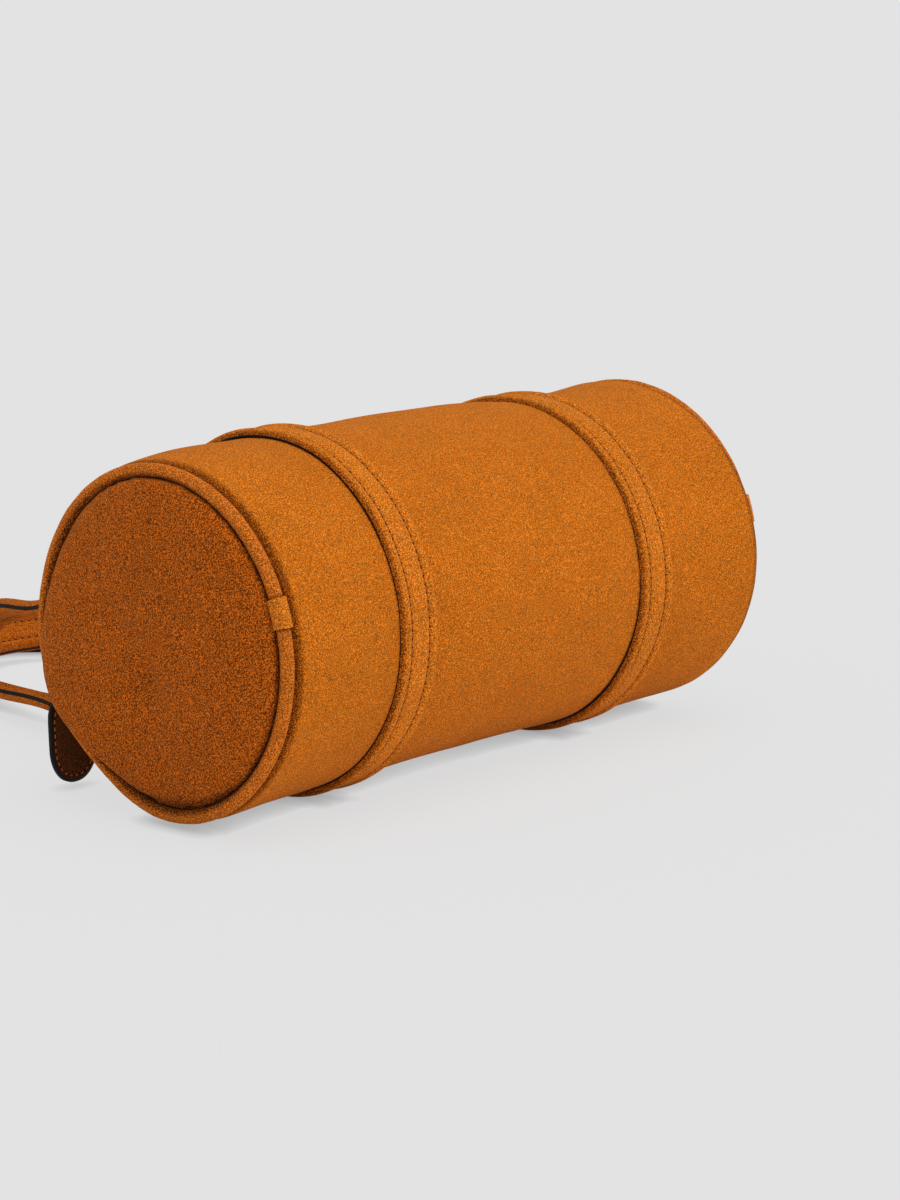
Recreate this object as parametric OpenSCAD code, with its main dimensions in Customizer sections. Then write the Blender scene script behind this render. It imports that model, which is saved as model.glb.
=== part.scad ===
// Small suede barrel bag, lying on its side with its zip turned away from the viewer.
// Frame: X runs along the barrel, +Z is up from the floor, and the handles lie toward +Y.
// Inside this file the bag is first drawn upright, zip on top (+Z), and then laid down.

/* [Body] */
// Outer diameter of the suede barrel
body_d = 122; // [100:1:180]
// Length of the suede barrel between its two end seams
body_len = 240; // [200:1:400]
// Thickness of the suede
suede_t = 1.4; // [0.8:0.1:2.5]
// Thickness of the stiffening sheet under the suede
interlining_t = 1.6; // [0.8:0.1:3]
// Thickness of the lining cloth
lining_t = 0.6; // [0.4:0.1:1]
// Glue line left between two layers
layer_gap = 0.1; // [0.05:0.01:0.2]
// Radius of the rounded shoulder where the barrel turns in to its end seam
shoulder_r = 3; // [2:0.5:6]
// Width of the seam allowance turned in behind each end panel
seam_allowance = 8; // [4:0.5:14]

/* [End panels] */
// Height of the padded crown of an end panel over its rim
crown = 9.5; // [4:0.5:12]
// How flat the crown is in the middle and how full at its rim
fullness = 7; // [3:0.5:10]
// Thickness of the stiff board behind an end panel
board_t = 1.6; // [0.8:0.1:3]

/* [Piping] */
// Diameter of the suede piping round each end
piping_d = 4.8; // [3.5:0.1:7]
// Diameter of the cord inside the piping
cord_d = 2.8; // [1.5:0.1:3.2]
// Length of the suede cover over the join of the piping
wrap_len = 10; // [5:0.5:20]
// Thickness of that cover
wrap_t = 0.6; // [0.4:0.1:1]

/* [Bands and handles] */
// Width of the strap that makes the bands and the handles
strap_w = 17.2; // [12:0.2:24]
// Height of one padded strip of the strap at its middle
strip_t = 2.9; // [2:0.1:4]
// Height of the painted edge of one strip
edge_t = 0.8; // [0.4:0.1:1.4]
// Distance from the middle of the bag to the outer edge of a band
band_out = 72; // [50:1:90]
// Angle from the zip to where a strap leaves the barrel
leave_angle = 65; // [60:1:70]
// Length of strap past that point where the handle starts to bend
bend_len = 10; // [8:0.5:14]
// Clearance between a band's cut end and the rounded root of a handle
root_gap = 0.9; // [0.5:0.1:1.5]
// Length of single strap before the handle's inner strip begins
single_len = 62; // [58:1:70]
// Reach of the upper handle past the middle of the bag
upper_reach = 229; // [190:1:250]
// Reach of the lower handle past the middle of the bag
lower_reach = 245; // [206:1:266]

/* [Zip] */
// Width of the opening in the suede
slot_w = 13.6; // [12:0.2:20]
// Distance from each end seam to the end of the opening
slot_margin = 4; // [4:0.5:12]
// Width of one zip tape
tape_w = 13; // [10:0.5:16]
// Thickness of the tape
tape_t = 0.6; // [0.4:0.1:0.8]
// Spacing of the teeth along one tape
tooth_pitch = 2.6; // [2:0.1:4]
// Length of a tooth along the zip
tooth_len = 1.1; // [0.6:0.1:1.6]
// Depth of a tooth across the zip
tooth_depth = 1.9; // [1.2:0.1:3]
// Height of a tooth
tooth_h = 2.2; // [1.6:0.1:2.6]
// Width of the channel between the two rows of teeth
channel_w = 1.2; // [1:0.1:2]

/* [Slider and pull tab] */
// Length of the slider
slider_len = 10; // [8:0.5:12]
// Width of the slider
slider_w = 8; // [7:0.2:10]
// Thickness of each plate of the slider
plate_t = 1.2; // [0.8:0.1:1.6]
// Running clearance of the slider
slide_gap = 0.25; // [0.15:0.05:0.4]
// Diameter of the slider's bridge bar
bar_d = 1.6; // [1.2:0.1:2]
// Free height under the bridge bar
bridge_h = 2.4; // [2.2:0.1:3.5]
// Width of the suede pull tab
tab_w = 22; // [16:0.5:28]
// Length of the pull tab from the bridge bar to its tip
tab_len = 37.8; // [26:0.2:37.8]
// Thickness of the pull tab
tab_t = 2.4; // [1.6:0.1:2.6]
// Width of the narrow neck that goes round the bridge bar
neck_w = 5; // [3:0.2:5.2]
// Wall of the loop round the bridge bar
loop_t = 1.1; // [0.8:0.1:1.3]

/* [Resting on the floor] */
// Angle that the zip points below the horizontal
roll = 18.8; // [10:0.2:20]
// Depth by which the bands are pressed flat on the floor
press_depth = 1.8; // [1.2:0.1:2.4]

/* [Hidden] */
$fn = 96;

SUEDE = [0.78, 0.42, 0.12];
DARK_SUEDE = [0.62, 0.33, 0.09];
BOARD = [0.55, 0.5, 0.42];
CLOTH = [0.72, 0.62, 0.48];
CORD = [0.9, 0.88, 0.82];
WADDING = [0.86, 0.84, 0.78];
TAPE = [0.5, 0.28, 0.1];
METAL = [0.78, 0.66, 0.4];

// One overrun serves every cut
over = 1;
// Half angle of a full turn, and the angle of a quarter turn
half_turn = 180;
quarter = 90;

body_r = body_d / 2;
half_len = body_len / 2;
under_suede_r = body_r - suede_t - layer_gap;
under_board_r = under_suede_r - interlining_t - layer_gap;
inside_r = under_board_r - lining_t;
// The linings stop short of the turned-in seam allowance, the stiffener short of the shoulder
lining_half = half_len - suede_t - layer_gap;
stiffener_half = half_len - shoulder_r - layer_gap;
band_r = body_r + strip_t;
axis_height = band_r - press_depth;
band_mid = band_out - strap_w / 2;

piping_r = piping_d / 2;
piping_ring_r = body_r - piping_r - layer_gap;
piping_x = half_len + layer_gap + piping_r;
panel_r = piping_ring_r - piping_r - layer_gap;
panel_x = half_len + suede_t + board_t + 3 * layer_gap;

// Places on the zip, measured from the barrel's axis
tape_top = under_suede_r;
tape_mid = tape_top - tape_t / 2;
slider_top = tape_mid + tooth_h / 2 + slide_gap + plate_t;
slider_bottom = tape_mid - tooth_h / 2 - slide_gap - plate_t;
bar_z = slider_top + bridge_h + bar_d / 2;
row_w = channel_w / 2 + tooth_depth;
tape_in = row_w + layer_gap;
stop_len = tooth_pitch;
slot_len = body_len - 2 * slot_margin;
chain_len = slot_len - 4 * stop_len;
tooth_count = floor((chain_len / 2 - tooth_len) / tooth_pitch);
slider_rest = -(chain_len / 2 - slider_len / 2 + tooth_len);

// Turns a length on a circle into an angle
function arc_angle(len, r) = len / r * half_turn / PI;
function unit(v) = v / norm(v);
function reversed(list) = [for (i = [len(list) - 1 : -1 : 0]) list[i]];

// Lays the upright bag on its side: its zip then points to +Y and down by the roll
module lay_down() {
  translate([0, 0, axis_height]) rotate([-(quarter + roll), 0, 0]) children();
}

// Everything above the floor, drawn in the laid-down frame
module above_floor() {
  intersection() {
    lay_down() children();
    reach = upper_reach + lower_reach;
    translate([-reach, -reach, 0]) cube([2 * reach, 2 * reach, 2 * reach]);
  }
}

// A ring about the barrel's axis from a flat section: x of the section is the radius
module turned(from = -half_turn, sweep = 2 * half_turn) {
  rotate([0, quarter, 0]) rotate([0, 0, from]) rotate_extrude(angle = sweep) children();
}

module at_end(side) {
  mirror([side < 0 ? 1 : 0, 0, 0]) children();
}

// A slot along the top of the upright barrel
module top_slot(w, len) {
  translate([-len / 2, -w / 2, 0]) cube([len, w, body_r + over]);
}

// Barrel

// Half section of the suede barrel: wall, rounded shoulder and turned-in seam allowance
shoulder_steps = 6;
function shoulder(r) =
  [for (i = [0 : shoulder_steps]) let (turn = quarter * i / shoulder_steps) [
    body_r - shoulder_r + r * cos(turn),
    half_len - shoulder_r + r * sin(turn)]];

module body_section() {
  inner = body_r - seam_allowance - suede_t;
  polygon(concat(
    [[body_r - suede_t, -over], [body_r, -over]],
    shoulder(shoulder_r),
    [[inner, half_len], [inner, half_len - suede_t]],
    reversed(shoulder(shoulder_r - suede_t))));
}

module body_panel() {
  color(SUEDE) above_floor() difference() {
    union() {
      turned() body_section();
      at_end(-1) turned() body_section();
    }
    top_slot(slot_w, slot_len);
  }
}

module tube_between(outer, inner, half, w, len) {
  difference() {
    turned() translate([inner, -half]) square([outer - inner, 2 * half]);
    top_slot(w, len);
  }
}

module body_stiffener() {
  color(BOARD) lay_down()
    tube_between(under_suede_r, under_suede_r - interlining_t, stiffener_half,
      2 * (tape_in + tape_w + layer_gap), slot_len + 2 * stop_len);
}

module body_lining() {
  color(CLOTH) lay_down()
    tube_between(under_board_r, inside_r, lining_half, slot_w + tape_w / 2, slot_len);
}

// Ends

// Crown line from the middle out to a rim of radius r that stands at rim_x
crown_steps = 16;
function crown_line(r, rim_x) =
  [for (i = [0 : crown_steps]) let (turn = quarter * i / crown_steps)
    [r * pow(sin(turn), 2 / fullness), rim_x + crown * cos(turn)]];

// A suede skin over the crown, with a skirt that runs down to the end seam
module end_panel(side) {
  foot = half_len + layer_gap;
  color(DARK_SUEDE) lay_down() at_end(side) turned() polygon(concat(
    crown_line(panel_r, panel_x),
    [[panel_r, foot], [panel_r - suede_t, foot]],
    reversed(crown_line(panel_r - suede_t, panel_x - suede_t))));
}

// The soft filling between the board and the suede
module end_wadding(side) {
  r = panel_r - suede_t - layer_gap;
  foot = half_len + board_t + 2 * layer_gap;
  color(WADDING) lay_down() at_end(side) turned() polygon(concat(
    crown_line(r, panel_x - suede_t - layer_gap), [[r, foot], [0, foot]]));
}

module end_board(side) {
  color(BOARD) lay_down() at_end(side) turned()
    translate([0, half_len + layer_gap]) square([panel_r - suede_t - layer_gap, board_t]);
}

module end_lining(side) {
  color(CLOTH) lay_down() at_end(side) turned()
    translate([0, lining_half - lining_t]) square([inside_r - layer_gap, lining_t]);
}

// Piping

module piping(side) {
  color(SUEDE) lay_down() at_end(side) turned()
    translate([piping_ring_r, piping_x]) difference() {
      circle(piping_r);
      circle(cord_d / 2 + layer_gap);
    }
}

module piping_cord(side) {
  color(CORD) lay_down() at_end(side) turned() translate([piping_ring_r, piping_x]) circle(cord_d / 2);
}

// The cover sits at the bag's bottom line and hugs the piping on its open side
module piping_wrap(side) {
  sweep = arc_angle(wrap_len, piping_ring_r);
  color(SUEDE) lay_down() at_end(side) turned(-sweep / 2, sweep)
    intersection() {
      translate([piping_ring_r, piping_x]) difference() {
        circle(piping_r + layer_gap + wrap_t);
        circle(piping_r + layer_gap);
        translate([-piping_d, -piping_d]) square(piping_d);
      }
      translate([panel_r + layer_gap, half_len + layer_gap]) square(2 * piping_d);
    }
}

// Bands and handles

// Outline of one strip: flat below, painted edges, a soft crown above; x across, y up
crown_shares = [[1, 0], [0.86, 0.6], [0.6, 0.93], [0.25, 1]];
function strip_outline() = let (h = strap_w / 2, rise = strip_t - edge_t) concat(
  [[-h, 0], [h, 0]],
  [for (s = crown_shares) [s.x * h, edge_t + rise * s.y]],
  [for (i = [len(crown_shares) - 1 : -1 : 0])
    [-crown_shares[i].x * h, edge_t + rise * crown_shares[i].y]]);

// The same outline stood on the barrel: x is the radius and y runs along the barrel
module strip_on_barrel() {
  polygon([for (p = strip_outline()) [body_r + p.y, -p.x]]);
}

module band(side) {
  tail = bend_len - strip_t / 2 - root_gap;
  color(SUEDE) above_floor() translate([side * band_mid, 0, 0]) {
    turned(leave_angle - half_turn, 2 * (half_turn - leave_angle)) strip_on_barrel();
    for (way = [-1, 1]) rotate([way * leave_angle, 0, 0]) translate([0, 0, body_r])
      rotate([quarter, 0, 0]) translate([0, 0, way > 0 ? -tail : 0])
        linear_extrude(tail) polygon(strip_outline());
  }
}

// A handle's middle line is given in the laid-down frame. It starts on the barrel, and its
// height over the floor at each later share of its reach is a share of the axis height.
upper_height_shares = [1.335, 0.97, 0.752, 0.675, 0.52, 0.23, 0.165];
lower_height_shares = [0.04, 0.058, 0.168, 0.15, 0.12, 0.1, 0.095];
step_shares = [0, 0.15, 0.3, 0.45, 0.6, 0.75, 0.9, 1];
// How far the strap has turned, at those steps, from lying flat to its lean at the arch
upper_turn_shares = [0, 0, 0.08, 0.19, 0.25, 0.33, 0.5, 1];
lower_turn_shares = [0, 0, 0.12, 0.42, 0.48, 0.5, 0.7, 1];
// How boxy the arch of each handle is
upper_arch = 2.1;
lower_arch = 2.5;
// Lean of the strap from upright where each handle turns back
upper_lean = 54;
lower_lean = 68;
rings = 32;
root_rings = 8;

// Smooth curve through the height shares
function share_at(t, ys, i = 0) =
  i < len(step_shares) - 2 && t > step_shares[i + 1] ? share_at(t, ys, i + 1) :
  let (x0 = step_shares[i], x1 = step_shares[i + 1], f = (t - x0) / (x1 - x0),
    last = len(ys) - 1, a = max(i - 1, 0), b = min(i + 2, last),
    m0 = (ys[i + 1] - ys[a]) / (step_shares[i + 1] - step_shares[a]) * (x1 - x0),
    m1 = (ys[b] - ys[i]) / (step_shares[b] - step_shares[i]) * (x1 - x0))
  (2 * pow(f, 3) - 3 * pow(f, 2) + 1) * ys[i] + (pow(f, 3) - 2 * pow(f, 2) + f) * m0
    + (3 * pow(f, 2) - 2 * pow(f, 3)) * ys[i + 1] + (pow(f, 3) - pow(f, 2)) * m1;

// Where a strap leaves the barrel: angle over the horizontal, and its place on the suede
function leave_world(way) = -roll + way * leave_angle;
function start_y(way) = body_r * cos(leave_world(way));
function reach(way) = way > 0 ? upper_reach : lower_reach;
function heights(way) = concat([1 + body_r * sin(leave_world(way)) / axis_height],
  way > 0 ? upper_height_shares : lower_height_shares);
function arch(way) = way > 0 ? upper_arch : lower_arch;

// Point of the left half of a handle's middle line; turn runs from 0 at the bag to 90
function on_line(way, turn) =
  let (n = 2 / arch(way), t = pow(sin(turn), n))
  [-band_mid * pow(max(cos(turn), 0), n),
    start_y(way) + (reach(way) - start_y(way)) * t,
    max(axis_height * share_at(t, heights(way)), strip_t + layer_gap)];

function turn_at(way, len) =
  asin(pow(len * abs(sin(leave_world(way))) / (reach(way) - start_y(way)), arch(way) / 2));

// Directions at a point: along the strap, across it, and out of its outer face
function frame_at(way, turn) =
  let (d = 0.4, near_end = turn > quarter - d,
    along = near_end ? [1, 0, 0]
      : unit(on_line(way, turn + d) - on_line(way, max(turn - d, d / 8))),
    t = pow(sin(turn), 2 / arch(way)),
    k = share_at(t, way > 0 ? upper_turn_shares : lower_turn_shares),
    lean = way > 0 ? upper_lean : lower_lean,
    stand = [0, sin(lean), cos(lean)],
    want = (1 - k) * [-1, 0, 0] + k * stand,
    across = unit(want - (want * along) * along))
  [along, across, way * cross(along, across)];

function ring_at(way, turn, outline) =
  let (p = on_line(way, turn), f = frame_at(way, turn))
  [for (q = outline) p + q.x * f[1] + q.y * f[2]];

function flip_x(points) = [for (p = points) [-p.x, p.y, p.z]];

// Turns of the rings over half a handle. Both strips share those past the single strap.
function shared_turns(way) = let (from = turn_at(way, single_len))
  [for (i = [0 : rings]) from + (quarter - from) * i / rings];
function root_turns(way) = let (from = turn_at(way, bend_len), to = turn_at(way, single_len))
  [for (i = [0 : root_rings - 1]) from + (to - from) * i / root_rings];

// All rings of a strip, from the left root over the arch to the right root
function strip_rings(way, outer) =
  let (turns = outer ? concat(root_turns(way), shared_turns(way)) : shared_turns(way),
    outline = outer ? strip_outline() : [for (p = strip_outline()) [p.x, -p.y - layer_gap]],
    left = [for (t = turns) ring_at(way, t, outline)],
    right = reversed([for (r = left) flip_x(r)]))
  concat(left, [for (i = [1 : len(right) - 1]) right[i]]);

module sweep_rings(all_rings, inside_out) {
  n = len(all_rings[0]);
  last = len(all_rings) - 1;
  points = [for (r = all_rings) each r];
  function at(i, j) = i * n + j % n;
  sides = [for (i = [0 : last - 1]) for (j = [0 : n - 1])
    each [[at(i, j), at(i + 1, j), at(i + 1, j + 1)], [at(i, j), at(i + 1, j + 1), at(i, j + 1)]]];
  caps = [for (j = [1 : n - 2]) each [[0, j, j + 1], [at(last, 0), at(last, j + 1), at(last, j)]]];
  faces = concat(sides, caps);
  polyhedron(points, inside_out ? [for (f = faces) reversed(f)] : faces);
}

// Axis about which a handle swings: the middle of the outer strip where it starts to bend
function root_point(way) =
  let (turn = turn_at(way, bend_len)) on_line(way, turn) + strip_t / 2 * frame_at(way, turn)[2];

module outer_strip(way) {
  root = root_point(way);
  color(SUEDE) {
    sweep_rings(strip_rings(way, true), way < 0);
    for (x = [-1, 1]) translate([x * abs(root.x), root.y, root.z]) rotate([0, quarter, 0])
      cylinder(h = strap_w, r = strip_t / 2 - layer_gap, center = true);
  }
}

module inner_strip(way) {
  color(SUEDE) sweep_rings(strip_rings(way, false), way > 0);
}

// Zip

module zip_tape(way) {
  from = arc_angle(tape_in, tape_mid);
  sweep = arc_angle(tape_w, tape_mid);
  half = slot_len / 2 + stop_len / 2;
  color(TAPE) lay_down() turned(way > 0 ? half_turn + from : half_turn - from - sweep, sweep)
    translate([tape_top - tape_t, -half]) square([tape_t, 2 * half]);
}

// Teeth of one tape; the other tape's teeth are half a pitch further on
module zip_teeth(way) {
  shift = way > 0 ? 0 : tooth_pitch / 2;
  color(METAL) lay_down() for (i = [-tooth_count : tooth_count - 1])
    translate([i * tooth_pitch + shift, -way * (channel_w + tooth_depth) / 2, tape_mid])
      cube([tooth_len, tooth_depth, tooth_h], center = true);
}

stop_x = slot_len / 2 - stop_len;

module zip_top_stops() {
  color(METAL) lay_down() for (way = [-1, 1])
    translate([-stop_x, way * (channel_w + tooth_depth) / 2, tape_mid])
      cube([stop_len, tooth_depth, tooth_h], center = true);
}

module zip_bottom_stop() {
  color(METAL) lay_down() translate([stop_x, 0, tape_mid])
    cube([stop_len, 2 * row_w, tooth_h], center = true);
}

// Slider at its closed place: two plates joined by a neck that runs in the channel
module zip_slider() {
  neck_t = channel_w - 2 * slide_gap;
  post = (slider_len - neck_w) / 2 - slide_gap;
  color(METAL) lay_down() translate([slider_rest, 0, 0]) {
    for (z = [slider_top - plate_t, slider_bottom])
      translate([-slider_len / 2, -slider_w / 2, z]) cube([slider_len, slider_w, plate_t]);
    translate([-slider_len / 4, -neck_t / 2, slider_bottom])
      cube([slider_len / 2, neck_t, slider_top - slider_bottom]);
    for (end = [-1, 1])
      translate([end * (slider_len - post) / 2, 0, (slider_top - plate_t + bar_z) / 2])
        cube([post, bar_d, bar_z + plate_t - slider_top], center = true);
    translate([0, 0, bar_z]) rotate([0, quarter, 0])
      cylinder(h = slider_len, r = bar_d / 2, center = true);
  }
}

// Outline of the pull tab, hanging down from the bridge bar at the origin
module tab_outline() {
  tip_r = tab_w / 2;
  shoulder_y = -(bar_d + 2 * loop_t + tab_t);
  neck_y = -bar_d / 2 - slide_gap;
  difference() {
    union() {
      translate([0, -(tab_len - tip_r)]) circle(tip_r);
      polygon([[-neck_w / 2, neck_y], [neck_w / 2, neck_y], [neck_w / 2, shoulder_y],
        [tip_r, shoulder_y - neck_w], [tip_r, -(tab_len - tip_r)], [-tip_r, -(tab_len - tip_r)],
        [-tip_r, shoulder_y - neck_w], [-neck_w / 2, shoulder_y]]);
    }
    translate([-tab_w, neck_y]) square([2 * tab_w, tab_w]);
  }
}

// Drawn hanging straight down in the laid-down frame
function bar_place() = [slider_rest, bar_z * cos(roll), axis_height - bar_z * sin(roll)];

module pull_tab() {
  eye_r = bar_d / 2 + slide_gap;
  color(DARK_SUEDE) translate(bar_place()) difference() {
    union() {
      rotate([quarter, 0, 0]) translate([0, 0, -tab_t / 2]) linear_extrude(tab_t) tab_outline();
      rotate([0, quarter, 0]) cylinder(h = neck_w, r = eye_r + loop_t, center = true);
    }
    rotate([0, quarter, 0]) cylinder(h = neck_w + 2 * over, r = eye_r, center = true);
  }
}

// The part's own origin is under the middle of its outline on the floor
front_y = -band_r;
back_y = max([for (outer = [true, false]) for (r = strip_rings(-1, outer)) for (p = r) p.y]);
module placed() {
  translate([0, -(front_y + back_y) / 2, 0]) children();
}

placed() body_panel();
placed() body_stiffener();
placed() body_lining();
placed() end_panel(-1);  // left_end_panel
placed() end_wadding(-1);  // left_end_wadding
placed() end_board(-1);  // left_end_board
placed() end_lining(-1);  // left_end_lining
placed() end_panel(1);  // right_end_panel
placed() end_wadding(1);  // right_end_wadding
placed() end_board(1);  // right_end_board
placed() end_lining(1);  // right_end_lining
placed() piping(-1);  // left_piping
placed() piping_cord(-1);  // left_piping_cord
placed() piping_wrap(-1);  // left_piping_wrap
placed() piping(1);  // right_piping
placed() piping_cord(1);  // right_piping_cord
placed() piping_wrap(1);  // right_piping_wrap
placed() band(-1);  // left_band
placed() band(1);  // right_band
placed() outer_strip(1);  // upper_handle_outer_strip
placed() inner_strip(1);  // upper_handle_inner_strip
placed() outer_strip(-1);  // lower_handle_outer_strip
placed() inner_strip(-1);  // lower_handle_inner_strip
placed() zip_tape(1);  // upper_zip_tape
placed() zip_tape(-1);  // lower_zip_tape
placed() zip_teeth(1);  // upper_zip_teeth
placed() zip_teeth(-1);  // lower_zip_teeth
placed() zip_top_stops();
placed() zip_bottom_stop();
placed() zip_slider();
placed() pull_tab();
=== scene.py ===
"""Looks of a small suede barrel bag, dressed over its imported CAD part. Metres, +Z up."""
import math

import bmesh
import bpy
import numpy as np
from mathutils import Matrix, Vector, noise

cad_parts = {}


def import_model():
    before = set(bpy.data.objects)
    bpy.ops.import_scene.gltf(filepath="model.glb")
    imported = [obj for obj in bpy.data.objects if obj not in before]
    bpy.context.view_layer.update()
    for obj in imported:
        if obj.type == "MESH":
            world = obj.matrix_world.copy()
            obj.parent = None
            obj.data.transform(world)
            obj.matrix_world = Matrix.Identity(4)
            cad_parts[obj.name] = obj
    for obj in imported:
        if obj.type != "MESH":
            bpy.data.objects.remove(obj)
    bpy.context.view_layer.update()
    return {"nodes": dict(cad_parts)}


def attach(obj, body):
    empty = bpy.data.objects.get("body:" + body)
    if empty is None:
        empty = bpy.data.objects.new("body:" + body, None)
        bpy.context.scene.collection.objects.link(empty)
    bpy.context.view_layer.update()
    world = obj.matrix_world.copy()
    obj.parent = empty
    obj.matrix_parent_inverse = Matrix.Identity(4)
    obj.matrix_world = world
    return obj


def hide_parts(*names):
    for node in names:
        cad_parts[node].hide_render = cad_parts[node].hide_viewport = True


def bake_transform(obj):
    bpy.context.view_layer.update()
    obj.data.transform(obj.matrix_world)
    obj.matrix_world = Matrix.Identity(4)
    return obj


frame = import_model()
MM = 0.001

# Places and sizes of the part, in millimetres and degrees
# The barrel's axis, from the frame's middle and above the floor, and its roll about that axis
AXIS_Y, AXIS_Z = -94.6867, 62.1
ROLL = 18.8
BODY_R, HALF_LEN, SUEDE_T = 61.0, 120.0, 1.4
# The bands' places, the straps' width and the thickness of one strip
BAND_X, STRAP_W, STRIP_T = 63.4, 17.2, 2.9
# Angle from the zip where a handle leaves its band, and the length from there with one strip only
LEAVE = 65.0
SINGLE = 62.0
# The slot for the zip, then the piping's own radius, the radius of its ring and its place
SLOT_HALF_W, SLOT_LEN = 6.8, 232.0
PIPE_R, PIPE_RING, PIPE_X = 2.4, 58.5, 122.5
# The zip tapes' middle and the slider's bar, from the axis, and the slider's place
TAPE_R = 59.2
SLIDER_X, BAR_R = -106.9, 64.95
# The upper handle (1) and the lower one (-1): reach from the axis, roundness, lean of the strap at
# its tip, then its height and its turn at steps along the reach
REACH = {1: 229.0, -1: 245.0}
ARCH = {1: 2.1, -1: 2.5}
LEAN = {1: 54.0, -1: 68.0}
STEPS = [0, 0.15, 0.3, 0.45, 0.6, 0.75, 0.9, 1]
HEIGHTS = {1: [1.335, 0.97, 0.752, 0.675, 0.52, 0.23, 0.165],
           -1: [0.04, 0.058, 0.168, 0.15, 0.12, 0.1, 0.095]}
TURNS = {1: [0, 0, 0.08, 0.19, 0.25, 0.33, 0.5, 1],
         -1: [0, 0, 0.12, 0.42, 0.48, 0.5, 0.7, 1]}

# The soft barrel: place along it, then its reach up, down and sideways from its axis
SOFT = [
    (-124.6, 61.3, 60.8, 60.2), (-114, 62.6, 60.4, 61.4), (-98, 63.9, 59.2, 62.0),
    (-78, 63.3, 59.2, 61.3), (-63.4, 63.6, 58.7, 60.0), (-49, 63.9, 59.0, 61.3),
    (-34, 63.6, 58.4, 62.1), (0, 63.8, 58.0, 62.5), (34, 63.4, 58.4, 62.1), (49, 62.2, 59.0, 61.3),
    (63.4, 60.4, 58.8, 60.0), (78, 61.0, 59.4, 61.3), (98, 60.9, 59.0, 62.6),
    (114, 61.8, 59.4, 64.4), (124.6, 62.6, 58.9, 65.0)]
# The end seams' own reach up, down and sideways; the far one lies drawn in behind the soft shoulder
SEAM = {-1: (61.4, 60.8, 60.2), 1: (62.4, 58.9, 60.7)}
# The near end sags on its far lower side: world angle, spread and depth
SAG_AT, SAG_SPREAD, SAG = -56.0, 25.0, 3.3
# How far over the floor the barrel, the straps and their threads are kept
BARREL_GAP, STRAP_GAP, THREAD_GAP = 0.35, 0.05, 0.3


# Small helpers

def smooth(f):
    f = np.clip(f, 0, 1)
    return f * f * (3 - 2 * f)


def world(x, ang, r):
    """Point at x along the barrel, ang degrees from the zip toward the upper side, r from the axis."""
    a = np.radians(np.asarray(ang, float) - ROLL)
    y = AXIS_Y + np.asarray(r, float) * np.cos(a)
    z = AXIS_Z + np.asarray(r, float) * np.sin(a)
    return np.stack(np.broadcast_arrays(np.asarray(x, float), y, z), -1)


def laid(points):
    """Upright bag to laid-down frame: x stays, y is across the zip and z the distance from the axis."""
    points = np.asarray(points, float)
    a = math.radians(-ROLL)
    y = AXIS_Y + points[:, 2] * math.cos(a) - points[:, 1] * math.sin(a)
    z = AXIS_Z + points[:, 2] * math.sin(a) + points[:, 1] * math.cos(a)
    return np.stack([points[:, 0], y, z], -1)


def outward(ang):
    return world(0, ang, 1.0) - world(0, ang, 0.0)


def from_zip(ang):
    """Angle from the zip, from 0 to 180 on either side."""
    return np.abs((np.asarray(ang, float) + 180) % 360 - 180)


def soft_reach(x, column):
    """One column of the soft barrel's table at x, with its corners rounded."""
    places = [row[0] for row in SOFT]
    values = [row[column] for row in SOFT]
    shifts = (-7, -3.5, 0, 3.5, 7)
    return sum(np.interp(x + s, places, values) for s in shifts) / len(shifts)


def ripple(x, ang):
    """Slow unevenness of the suede, in millimetres."""
    x, ang = np.broadcast_arrays(x, ang)
    out = np.empty(x.shape)
    for i in np.ndindex(out.shape):
        a = math.radians(ang[i])
        broad = Vector((x[i] * 0.028, 2.2 * math.cos(a), 2.2 * math.sin(a)))
        small = Vector((x[i] * 0.075 + 9, 5.0 * math.cos(a), 5.0 * math.sin(a)))
        out[i] = 0.42 * noise.noise(broad) + 0.16 * noise.noise(small)
    return out


def oval(ang, up, down, side):
    """Radius of a section from its reach up, down and sideways."""
    s = np.sin(np.radians(ang - ROLL))
    return side + (up - down) / 2 * s + ((up + down) / 2 - side) * s * s


def hump(ang, middle, spread):
    """From 1 at a world angle down to 0 on both sides of it."""
    off = (ang - ROLL - middle + 180) % 360 - 180
    return np.exp(-(off / spread) ** 2)


def settled_radius(x, ang, r):
    """Radius r with the near end's sag, kept plain along the zip."""
    sag = SAG * hump(ang, SAG_AT, SAG_SPREAD) * smooth((-x - 85) / 32)
    return BODY_R + (r - BODY_R) * smooth((from_zip(ang) - 10) / 30) - sag * smooth(from_zip(ang) / 20)


def soft_radius(x, ang, uneven=True):
    """Radius of the suede's outer face; it is plain and straight along the zip."""
    x, ang = np.broadcast_arrays(np.asarray(x, float), np.asarray(ang, float))
    r = oval(ang, *(soft_reach(x, column) for column in (1, 2, 3)))
    if uneven:
        r = r + ripple(x, ang)
    return settled_radius(x, ang, r)


# Meshes

def mesh_object(name, points, faces, materials, marks=None, smooth_shade=True):
    """Makes an object from points in millimetres, with one material or several and a mark per face."""
    mesh = bpy.data.meshes.new(name)
    mesh.from_pydata((np.asarray(points, float) * MM).tolist(), [], [list(map(int, f)) for f in faces])
    for material in materials if isinstance(materials, list) else [materials]:
        mesh.materials.append(material)
    if marks is not None:
        mesh.polygons.foreach_set("material_index", np.asarray(marks, np.int32))
    mesh.polygons.foreach_set("use_smooth", [smooth_shade] * len(mesh.polygons))
    mesh.update()
    ob = bpy.data.objects.new(name, mesh)
    bpy.context.scene.collection.objects.link(ob)
    tidy_mesh(ob)
    return ob


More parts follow.
